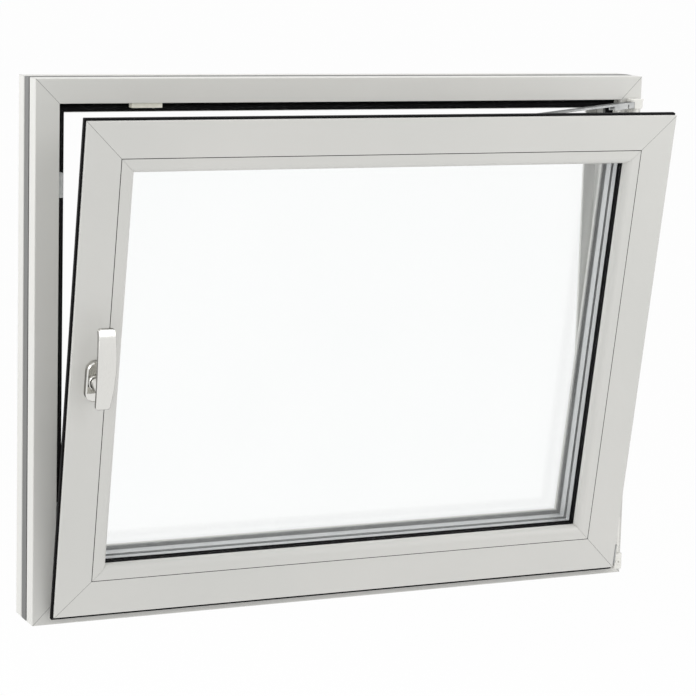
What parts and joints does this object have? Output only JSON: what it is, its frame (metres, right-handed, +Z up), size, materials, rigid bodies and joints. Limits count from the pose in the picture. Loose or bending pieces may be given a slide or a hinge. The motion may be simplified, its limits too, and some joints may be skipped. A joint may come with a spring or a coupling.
{
  "type": "tilt and turn window",
  "caption": "Tilt and turn window of light grey aluminium profiles with triple glazing, its sash tilted into the room and its handle up.",
  "frame": {"origin": "middle of the sill's underside, midway along it and midway through the frame's depth", "axes": "+X to the right seen from the room, +Y from the room to the outside, +Z up"},
  "size_m": [1.1, 0.2587, 0.89],
  "materials": {
    "lacquered_profile": "satin",
    "insulating_strip": "matte",
    "seal": "matte",
    "pane": "gloss",
    "spacer": "satin",
    "hardware_steel": "satin",
    "hinge_white": "satin",
    "handle_satin": "satin"
  },
  "bodies": {
    "window": {"frame_sill": "lacquered_profile", "frame_sill_strips": "insulating_strip", "frame_jamb_left": "lacquered_profile", "frame_jamb_left_strips": "insulating_strip", "frame_head": "lacquered_profile", "frame_head_strips": "insulating_strip", "frame_jamb_right": "lacquered_profile", "frame_jamb_right_strips": "insulating_strip", "sash_bottom_rail": "lacquered_profile", "sash_bottom_rail_strips": "insulating_strip", "sash_left_stile": "lacquered_profile", "sash_left_stile_strips": "insulating_strip", "sash_top_rail": "lacquered_profile", "sash_top_rail_strips": "insulating_strip", "sash_right_stile": "lacquered_profile", "sash_right_stile_strips": "insulating_strip", "bead_bottom": "lacquered_profile", "bead_left": "lacquered_profile", "bead_top": "lacquered_profile", "bead_right": "lacquered_profile", "frame_rebate_gasket": "seal", "sash_overlap_gasket": "seal", "glazing_gasket_inner": "seal", "glazing_gasket_outer": "seal", "glass_inner_pane": "pane", "glass_middle_pane": "pane", "glass_outer_pane": "pane", "glass_spacers": "spacer", "faceplate_left": "hardware_steel", "faceplate_top": "hardware_steel", "faceplate_bottom": "hardware_steel", "stay_slider": "hardware_steel", "stay_arm": "hardware_steel", "hinge_pins": "hardware_steel", "strike_head": "hardware_steel", "strike_jamb_upper": "hardware_steel", "strike_jamb_lower": "hardware_steel", "strike_sill": "hardware_steel", "stay_bearing": "hinge_white", "stay_cap": "hinge_white", "corner_bearing": "hinge_white", "corner_tab": "hinge_white", "handle_rosette": "handle_satin"},
    "handle": {"handle_lever": "handle_satin", "handle_spindle": "hardware_steel"}
  },
  "joints": [
    {"name": "handle_turn", "type": "hinge", "parent": "window", "child": "handle", "pos_m": [-0.481, -0.14073, 0.42202], "axis": [0, 0.9848, 0.1736], "range_deg": [0, 180]}
  ]
}
